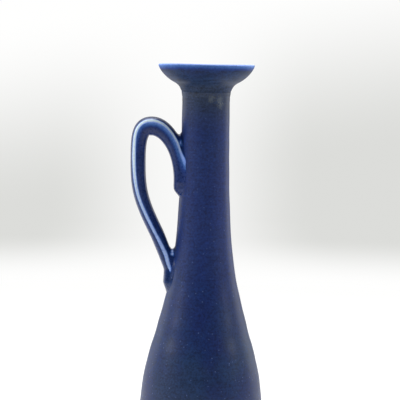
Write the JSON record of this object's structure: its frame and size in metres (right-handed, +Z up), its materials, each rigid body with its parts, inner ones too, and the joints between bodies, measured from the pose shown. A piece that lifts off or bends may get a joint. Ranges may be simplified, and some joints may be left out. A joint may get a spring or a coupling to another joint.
{
  "type": "ceramic bud vase",
  "caption": "Tall glazed bottle-shaped bud vase with a flared bowl mouth, slim neck, swelling belly, turned foot and one looped strap handle.",
  "frame": {"origin": "centre of the foot's resting plane, on the vase's axis", "axes": "+Z up the vase's axis, from the foot to the rim; the handle stands on the -X side"},
  "size_m": [0.0728, 0.0664, 0.25],
  "materials": {
    "cobalt_glaze": "satin deep cobalt glaze, breaking pale blue where it runs thin on the lip and on the handle's ridges",
    "bare_stoneware": "bare fired stoneware, turned, no glaze on the resting ring",
    "luting_slip": "fired slip, hidden inside the joints under the glaze"
  },
  "bodies": {
    "root": {"foot_ring": "bare_stoneware", "foot_joint_slip": "luting_slip", "belly": "cobalt_glaze", "neck_joint_slip": "luting_slip", "neck": "cobalt_glaze", "mouth_joint_slip": "luting_slip", "mouth": "cobalt_glaze", "handle": "cobalt_glaze", "upper_handle_pad": "cobalt_glaze", "lower_handle_pad": "cobalt_glaze"}
  },
  "joints": []
}
